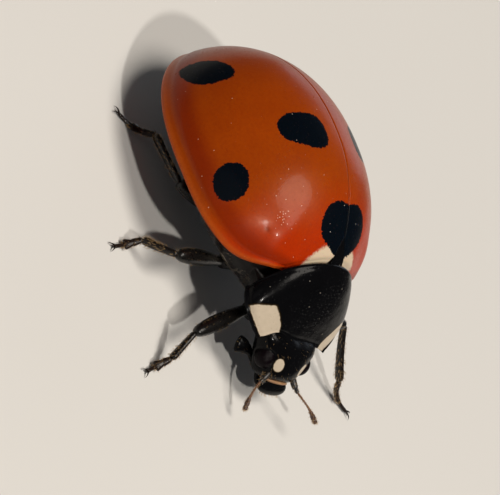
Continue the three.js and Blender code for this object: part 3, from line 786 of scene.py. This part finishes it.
FEELERS = {
    "right": [(-0.42, -0.76, 0.0), (-0.68, -1.04, 0.03), (-0.78, -1.34, 0.04), (-0.83, -1.61, 0.08)],
    "left": [(0.42, -0.74, -0.02), (0.55, -0.98, 0.08), (0.61, -1.08, 0.28), (0.78, -1.22, 0.44),
             (1.1, -1.47, 0.5)],
}
FEELER_JOINTS = np.array([0, 0.24, 0.33, 0.41, 0.47, 0.53, 0.59, 0.65, 0.72, 0.81, 0.9, 1.0])
FEELER_RADII = np.array([0.068, 0.042, 0.023, 0.021, 0.021, 0.022, 0.024, 0.028, 0.042, 0.054, 0.05])
PALPS = {
    "right": [(-0.24, -0.86, -0.44), (-0.42, -0.72, -0.47), (-0.56, -0.6, -0.5), (-0.73, -0.5, -0.57),
              (-0.92, -0.48, -0.68)],
    "left": [(0.22, -0.9, -0.46), (0.44, -0.78, -0.49), (0.6, -0.68, -0.52), (0.75, -0.59, -0.58),
             (0.93, -0.57, -0.68)],
}
PALP_JOINTS = np.array([0, 0.24, 0.5, 1.0])
PALP_RADII = np.array([0.07, 0.065, 0.07])
CHESTNUT = (0.2, 0.085, 0.03), (0.09, 0.034, 0.013)
SCAPE_BLACK = (0.008, 0.007, 0.007)
CLUB_BROWN = (0.05, 0.018, 0.009)


def beads(share, joints, radii, neck=0.62):
    """Radius along a jointed limb: within a joint it swells from the neck to that joint's radius."""
    k = np.clip(np.searchsorted(joints, share, side="right") - 1, 0, len(radii) - 1)
    within = (share - joints[k]) / (joints[k + 1] - joints[k])
    return radii[k] * (neck + (1 - neck) * rounded(within, 3))


def through(points, share):
    """Path through points, straight between them and then smoothed with a running mean."""
    points = np.asarray(points, float)
    reach = np.hstack([[0], np.cumsum(length(np.diff(points, axis=0)))])
    fine = shares(400)
    path = np.stack([np.interp(fine, reach / reach[-1], points[:, k]) for k in range(3)], -1)
    padded = np.vstack([2 * path[0] - path[60:0:-1], path, 2 * path[-1] - path[-2:-62:-1]])
    smooth = np.stack([np.convolve(padded[:, k], np.ones(121) / 121, "valid") for k in range(3)], -1)
    return np.stack([np.interp(share, fine, smooth[:, k]) for k in range(3)], -1)


def feeler(side):
    """Rings along the path, as thick as the joints' beads."""
    share = shares(240)
    girth = beads(share, FEELER_JOINTS, FEELER_RADII) * rounded(share, 40)
    rings = limb(through(FEELERS[side], share), girth, girth, (0.3, 0.2, 1), 24)
    return rings, share[:, None] + 0 * rings[..., 0]


def palp(side):
    """A stalk of two beads, and a last joint that widens to its cut-off end and stays thin."""
    share = shares(140)
    stalk = beads(share, PALP_JOINTS, PALP_RADII, 0.7)
    blade = clamp((share - 0.5) / 0.5)
    end = np.sqrt(clamp(1 - share ** 34))
    wide = np.where(share > 0.5, 0.05 + 0.15 * blade ** 0.8, stalk) * end
    deep = np.where(share > 0.5, 0.055 + 0.01 * blade, stalk) * end
    wide[0] = deep[0] = 0
    return limb(through(PALPS[side], share), wide, deep, (0.83 * SIDES[side], 0.12, 0.54))


def feeler_finish():
    """Black at the root, chestnut along the stalk and dark brown on the club."""
    made = Finish("feeler brown", Coat_Weight=0.2, Coat_Roughness=0.2)
    share = made.value("share")
    colour = made.mix(made.step(share, 0.3, 0.36), SCAPE_BLACK, made.mix(made.noise(12.0, 3.0), *CHESTNUT))
    colour = made.mix(made.step(share, 0.68, 0.78), colour, CLUB_BROWN)
    return made.paint(colour, made.spread(made.noise(40.0), 0.3, 0.5), made.times(made.noise(60.0), 0.002))


feeler_brown = feeler_finish()
feeler_shapes, palp_shapes = {}, {}
for name in SIDES:
    rings, share = feeler_shapes[name] = feeler(name)
    piece(f"feeler_{name}", [skin(in_face(rings), share=share)], feeler_brown, "feeler_brown",
          f"antenna_{name}_scape", f"antenna_{name}_stalk", f"antenna_{name}_club")
    palp_shapes[name] = palp(name)
    black_face_piece(f"mouth_feeler_{name}", palp_shapes[name], f"palp_{name}_stalk", f"palp_{name}_tip")

# ---------- legs
# Six black legs. Each has a conical coxa, a short ring, a stout flattened thigh, a thin shin with two
# spurs, and a foot of a wide joint, a two-lobed pad, a tiny joint and a thin one with two claws.

# Start of the coxa and the hip in the trunk frame, for the left side
LEG_ROOTS = {
    "front": ((0.5, -0.16, -0.8), (0.82, -0.14, -0.74)),
    "middle": ((0.62, 0.98, -0.72), (0.9, 0.98, -0.86)),
    "hind": ((0.45, 2.02, -0.62), (0.72, 2.06, -0.74)),
}
# Knee, ankle and toe in the stance frame
LEGS = {
    "front_right": ((-2.62, -0.92, 0.72), (-3.08, -1.38, 0.34), (-3.6, -1.6)),
    "middle_right": ((-2.88, 0.62, 0.9), (-3.1, 1.12, 0.34), (-3.72, 1.0)),
    "hind_right": ((-2.05, 2.28, 0.85), (-1.78, 3.52, 0.42), (-2.36, 4.02)),
    "front_left": ((2.45, -0.25, 1.18), (3.05, -1.12, 0.42), (3.66, -1.56)),
    "middle_left": ((2.6, 0.66, 0.94), (3.12, 1.2, 0.36), (3.76, 1.1)),
    "hind_left": ((2.08, 2.3, 0.85), (2.1, 3.46, 0.42), (2.66, 3.98)),
}
PAD_HEIGHT = 0.055  # middle line of the foot over the floor
# Start and end as shares of the foot, width at each, depth
FOOT_JOINTS = ((0.0, 0.34, 0.05, 0.085, 0.06), (0.28, 0.62, 0.05, 0.115, 0.05),
               (0.58, 0.7, 0.045, 0.045, 0.04), (0.64, 1.0, 0.032, 0.045, 0.035))
LEG_BLACKS = (0.0025, 0.0022, 0.0022), (0.006, 0.005, 0.0042)
LEG_BROWNS = (0.022, 0.009, 0.005), (0.008, 0.0045, 0.0035)


def hip_rings(coxa, hip):
    """A blunt cone from the coxa's socket to a little past the hip."""
    share = shares(50)
    girth = (0.24 - 0.09 * share) * rounded(share, 8)
    return limb(bezier([coxa, hip + 0.2 * (hip - coxa)], share), girth, 0.9 * girth, (0, 1, 0))


def thigh(hip, knee):
    """A limb swollen at two thirds of its length, deeper than wide, with blunt ends."""
    share = shares(90)
    swell = 0.095 + 0.072 * np.sin(np.pi * share ** 1.35) ** 0.8 + 0.012 * share
    deep = swell * rounded(share, 16)
    middle = (hip + knee) / 2 + (0, 0, 0.05)
    return limb(bezier([hip, middle, knee], share), 0.95 * deep, deep)


def shin(knee, ankle, heel):
    """A thin limb, bent a little at the knee and widening to its end."""
    share = shares(80)
    girth = (0.07 + 0.025 * share) * rounded(share, 18)
    middle = (knee + ankle) / 2 + 0.12 * unit(knee - heel) * (1, 1, 0)
    return limb(bezier([knee, middle, ankle], share), 0.85 * girth, girth)


def pointed(share, blunt):
    """Thickness of a spine: it rises at once from its root and tapers evenly to the tip."""
    return np.sqrt(clamp(share * blunt)) * (1 - share)


def spurs(ankle, knee, heel):
    """Two straight spines that spread from the end of the shin."""
    along = unit(ankle - knee)
    side = unit(np.cross(along, ankle - heel + (0, 0, 0.01)))
    share = shares(16)
    taper = 0.016 * pointed(share, 8)
    return [limb(bezier([ankle - 0.03 * along, ankle + 0.11 * along + 0.05 * hand * side], share),
                 taper, taper, around=10) for hand in (-1, 1)]


def foot(ankle, toe):
    """Four widening joints, down from the ankle in an arc and then flat along the floor, and the claws."""
    last = np.array([*toe, PAD_HEIGHT])
    bend = ankle + (last - ankle) * (0.3, 0.3, 0) + (0, 0, PAD_HEIGHT - ankle[2])
    share = shares(40)
    girth = rounded(share, 10)
    found = []
    for start, end, narrow, broad, deep in FOOT_JOINTS:
        path = bezier([ankle, bend, last], start + (end - start) * share)
        wide = (narrow + (broad - narrow) * share ** 0.7) * girth
        found.append(limb(path, wide, deep * girth, around=28))
    return found + claws(ankle, toe)


def claws(ankle, toe):
    """Two hooks that spread from the end of the foot and curve down to the floor, each with a tooth."""
    end = np.array([*toe, PAD_HEIGHT])
    ahead = unit((end - ankle) * (1, 1, 0))
    side = np.cross(ahead, (0, 0, 1))
    share = shares(30)
    taper = pointed(share, 12)
    root = end - 0.02 * ahead
    found = []
    for hand in (-1, 1):
        over = end + 0.11 * ahead + 0.07 * hand * side + (0, 0, 0.05)
        tip = end + 0.15 * ahead + 0.1 * hand * side - (0, 0, PAD_HEIGHT - 0.006)
        tooth = end + 0.1 * ahead + 0.035 * hand * side - (0, 0, PAD_HEIGHT - 0.012)
        found.append(limb(bezier([root, over, tip], share), 0.022 * taper, 0.026 * taper, around=12))
        found.append(limb(bezier([root, root + 0.05 * ahead, tooth], share), 0.016 * taper, 0.02 * taper,
                          around=12))
    return found


def leg_finish():
    """Glossy black that goes to dark brown in the feet."""
    made = Finish("leg black", Coat_Weight=0.15, Coat_Roughness=0.12, Specular_IOR_Level=0.25)
    black, brown = made.mix(made.noise(5.0), *LEG_BLACKS), made.mix(made.noise(9.0), *LEG_BROWNS)
    lines = made.noise(26.0, 3.0, (1, 1, 1.4))
    return made.paint(made.mix(made.value("foot"), black, brown), made.spread(lines, 0.22, 0.42),
                      made.times(lines, 0.005))


leg_black = leg_finish()
leg_shapes = {}
for name, (knee, ankle, toe) in LEGS.items():
    pair, side = name.split("_")
    coxa, hip = trunk_to_stance(np.array(LEG_ROOTS[pair]) * (SIDES[side], 1, 1))
    knee, ankle, heel = np.array(knee), np.array(ankle), np.array([*toe, 0])
    thigh_part, shin_part, foot_parts = thigh(hip, knee), shin(knee, ankle, heel), foot(ankle, toe)
    leg_shapes[name] = thigh_part, shin_part, foot_parts[:3]
    parts = {
        ("hip", "coxa", 0.0): [hip_rings(coxa, hip)],
        ("thigh", "femur", 0.0): [thigh_part],
        ("shin", "tibia", 0.15): [shin_part] + spurs(ankle, knee, heel),
        ("foot", "tarsus", 0.7): foot_parts,
    }
    for (part, node, brown), shapes in parts.items():
        skins = [skin(in_stance(rings), foot=flat(rings, brown)) for rings in shapes]
        piece(f"{part}_{name}", skins, leg_black, "shell_black", f"{node}_{name}")

# ---------- hairs
# Stiff golden hairs of hard skin grow from pits: in rows on the thighs, thick on shins and feet, fine
# on the feelers, the face and the belly.

# Number, length, thickness and lean of the hairs of each kind
THIGH_HAIRS = (60, 0.07, 0.0028, 1.2)
SHIN_HAIRS = (170, 0.08, 0.003, 0.9)
FOOT_HAIRS = (240, 0.055, 0.003, 1.0)
FEELER_HAIRS = (170, 0.055, 0.003, 0.9)
PALP_HAIRS = (60, 0.05, 0.003, 0.9)
FACE_HAIRS = (110, 0.045, 0.0024, 0.8)
LIP_HAIRS = (40, 0.07, 0.003, 0.2)
BELLY_HAIRS = (1400, 0.07, 0.0035, 1.5)
LEAST = 1e-9  # weight that keeps the sum above 0
# A hair's points are three at the root, three at the bend and the tip
HAIR_FACES = np.array([(0, 2, 1), (0, 1, 4), (0, 4, 3), (1, 2, 5), (1, 5, 4), (2, 0, 3), (2, 3, 5),
                       (3, 4, 6), (4, 5, 6), (5, 3, 6)])
HAIR_LEVELS = [0, 0, 0, 0.5, 0.5, 0.5, 1.0]
PATCH = 0.003  # size of one hair on the OFBake map
HAIR_PATCH = np.array([(0, 0), (1, 0), (0.5, 1), (0, 0.5), (1, 0.5), (0.5, 0.5), (0.5, 1)])
HAIR_PATCH = (HAIR_PATCH - 0.5) * PATCH


def hairs(rings, weight, kind, seed, tile, tiles):
    """Thin bent three-sided cones. Roots are drawn from the rings' points by weight. A hair starts along
    the normal mixed with the way the rings run, and its tip leans further that way. Its patch on the map
    lies at the root's row and column within this part's tile."""
    count, length, thick, lean = kind
    random = np.random.default_rng(seed)
    rows, around = weight.shape
    chance = (weight / weight.sum()).ravel()
    row, column = np.divmod(random.choice(rows * around, count, p=chance), around)
    onward = unit(np.gradient(rings, axis=0))
    round_way = np.roll(rings, -1, 1) - np.roll(rings, 1, 1)
    outward = unit(np.cross(round_way, onward))
    from_middle = rings - rings.mean(1, keepdims=True)
    outward *= np.sign((outward * from_middle).sum(-1, keepdims=True).mean())
    root, out, along = (grid[row, column] for grid in (rings, outward, onward))
    jitter = random.normal(0, 0.18, (count, 3))
    reach = (length * random.uniform(0.7, 1.2, count))[:, None]
    first = unit(out + lean * along + jitter)
    last = unit(out + 2.2 * lean * along + jitter)
    side = unit(np.cross(first, along + 0.01))
    other = np.cross(first, side)
    turn = angles(3)[..., None]
    ring = thick * (np.cos(turn) * side[:, None] + np.sin(turn) * other[:, None])
    base = root - 0.15 * reach * first
    bend = root + 0.5 * reach * first
    tip = bend + 0.55 * reach * last
    points = np.hstack([base[:, None] + ring, bend[:, None] + 0.75 * ring, tip[:, None]])
    faces = (HAIR_FACES[None] + 7 * np.arange(count)[:, None, None]).reshape(-1, 3)
    spot = np.stack([row / rows, column / around], -1) * (1 - 2 * PATCH) + PATCH
    spot = (spot + (tile % tiles, tile // tiles)) / tiles
    patch = (spot[:, None] + HAIR_PATCH).reshape(-1, 2)
    return points.reshape(-1, 3), faces, {"tip": np.tile(HAIR_LEVELS, count)}, patch


def coat(name, parts, place, finish, slot):
    """A piece of hairs, placed and with its OFBake map written from each point's place on it."""
    skins = [(place(points), faces, values) for points, faces, values, _ in parts]
    mesh = piece(name, skins, finish, slot).data
    corners = np.zeros(len(mesh.loops), int)
    mesh.loops.foreach_get("vertex_index", corners)
    patch = np.vstack([part[3] for part in parts])[corners].astype(np.float32)
    mesh.uv_layers.new(name="OFBake").data.foreach_set("uv", patch.ravel())


def hair_finish(name, dark, light):
    """Paler from the root to the tip."""
    made = Finish(name, Coat_Weight=0.1)
    colour = made.mix(made.value("tip"), made.mix(made.noise(6.0), dark, light), shade(light, 1.3))
    return made.paint(colour, made.spread(made.noise(30.0), 0.3, 0.5))


def over_floor(points):
    return in_stance(np.maximum(points, (-9, -9, 0.003)))


golden = hair_finish("golden hair", (0.2, 0.11, 0.04), (0.48, 0.31, 0.14))
leg_hairs = []
for seed, (thigh_part, shin_part, pads) in enumerate(leg_shapes.values()):
    share = shares(len(thigh_part))[:, None]
    in_rows = clamp(np.cos(8 * angles(32)) - 0.7) * clamp((share - 0.42) * 4) * (share < 0.95)
    leg_hairs.append(hairs(thigh_part, in_rows + 1e-3, THIGH_HAIRS, seed, 3 * seed, 5))
    share = shares(len(shin_part))[:, None]
    lower = np.tile(share * 1.2 + 0.15, (1, 32))
    leg_hairs.append(hairs(shin_part, lower, SHIN_HAIRS, 20 + seed, 3 * seed + 1, 5))
    pads = np.vstack(pads)
    down = 0.35 + 1.5 * clamp(-np.sin(angles(pads.shape[1])))
    leg_hairs.append(hairs(pads, np.tile(down, (len(pads), 1)), FOOT_HAIRS, 40 + seed, 3 * seed + 2, 5))
coat("leg_hairs", leg_hairs, over_floor, golden, "feeler_brown")

face_hairs = []
for seed, name in enumerate(SIDES):
    rings, share = feeler_shapes[name]
    face_hairs.append(hairs(rings, 0.2 + 2 * clamp(share - 0.7), FEELER_HAIRS, 60 + seed, seed, 3))
    rings = palp_shapes[name]
    face_hairs.append(hairs(rings, flat(rings, 1), PALP_HAIRS, 70 + seed, 2 + seed, 3))
front = (head_rings[..., 2] > -0.2) & (head_marks < -0.02) & (head_rings[..., 1] < 0)
face_hairs.append(hairs(head_rings, front + LEAST, FACE_HAIRS, 80, 4, 3))
face_hairs.append(hairs(lip, (lip[..., 1] < -1.2) + LEAST, LIP_HAIRS, 81, 5, 3))
coat("face_hairs", face_hairs, in_face, golden, "feeler_brown")

downy = hair_finish("belly down", (0.08, 0.065, 0.05), (0.24, 0.2, 0.15))
belly_hairs = []
for seed, rings in enumerate((breast, rear)):
    row = np.arange(len(rings))[:, None]
    below = (rings[..., 2] < -0.2) & (row > 2) & (row < len(rings) - 3)
    belly_hairs.append(hairs(rings, below + LEAST, BELLY_HAIRS, 90 + seed, seed, 2))
coat("belly_hairs", belly_hairs, in_trunk, downy, "underside_black")

# ---------- floor, light and camera
# A plain pale floor, a round soft light over the animal, a small bright one before it, two dim ones at
# its sides, and a camera over its right side.

FLOOR_CORNERS = [(-1.5, -1.5, 0), (1.5, -1.5, 0), (1.5, 1.5, 0), (-1.5, 1.5, 0)]
FLOOR_GREYS = (0.68, 0.665, 0.64), (0.72, 0.705, 0.68)
TARGET = in_trunk(np.array([0, 1.2, 0.6]))
# Name, direction from the animal, distance and width in metres, watts, colour
LIGHTS = (
    ("key", (-0.03, -0.2, 0.96), 0.3, 0.16, 0.66, (1.0, 0.93, 0.84)),
    ("key core", (-0.27, -0.47, 0.58), 0.28, 0.015, 0.34, (1.0, 0.95, 0.88)),
    ("far side", (0.86, 0.48, 0.18), 0.3, 0.18, 0.09, (0.8, 0.88, 1.0)),
    ("near side", (-0.9, 0.1, 0.5), 0.4, 0.25, 0.05, (1.0, 0.95, 0.9)),
)
STUDIO_GREY = (0.9, 0.92, 0.95, 1)
STUDIO_STRENGTH = 0.05
CAMERA_DISTANCE = 0.18
CAMERA_BACK = np.array([-0.83066, -0.29258, 0.47370])
CAMERA_RIGHT = np.array([0.54156, -0.22707, 0.80941])
CAMERA_UP = np.array([-0.12926, 0.92889, 0.34707])
LOOK_ASIDE = (-0.925, 0.8137)  # from the front of the wing cases to the middle of the picture, mm
PICTURE_WIDTH = 9.891  # at the animal, mm
SENSOR_WIDTH = 36


def place_facing(thing, back, target, distance, up=(0, 0, 1)):
    """Puts a lamp or camera at a distance from the target along back, and turns its -z axis to it."""
    right = unit(np.cross(up, back))
    upright = np.cross(back, right)
    rows = np.column_stack([right, upright, back, target + distance * back])
    thing.matrix_world = Matrix([list(row) for row in rows] + [[0, 0, 0, 1]])


floor = bpy.data.meshes.new("floor")
floor.from_pydata(FLOOR_CORNERS, [], [(0, 1, 2, 3)])
pale_floor = Finish("pale floor", Roughness=0.9)
floor.materials.append(pale_floor.paint(pale_floor.mix(pale_floor.noise(0.05), *FLOOR_GREYS)))
ground = placed("floor", floor)
for name, toward, distance, size, power, colour in LIGHTS:
    light = bpy.data.lights.new(name, "AREA")
    light.shape = "DISK"
    light.size = size
    light.energy = power
    light.color = colour
    place_facing(placed(name, light), unit(np.array(toward)), TARGET, distance)

world = bpy.data.worlds.new("studio")
world.use_nodes = True
background = world.node_tree.nodes["Background"].inputs
background["Color"].default_value = STUDIO_GREY
background["Strength"].default_value = STUDIO_STRENGTH
bpy.context.scene.world = world
bpy.context.scene.view_settings.view_transform = "Standard"

camera = bpy.data.cameras.new("camera")
camera.sensor_width = SENSOR_WIDTH
camera.lens = SENSOR_WIDTH * CAMERA_DISTANCE / (PICTURE_WIDTH * MM)
camera.clip_start = 0.01
camera.clip_end = 10
view = placed("camera", camera)
look_at = in_trunk(np.zeros(3)) + (LOOK_ASIDE[0] * CAMERA_RIGHT + LOOK_ASIDE[1] * CAMERA_UP) * MM
place_facing(view, unit(CAMERA_BACK), look_at, CAMERA_DISTANCE, CAMERA_UP)
bpy.context.scene.camera = view
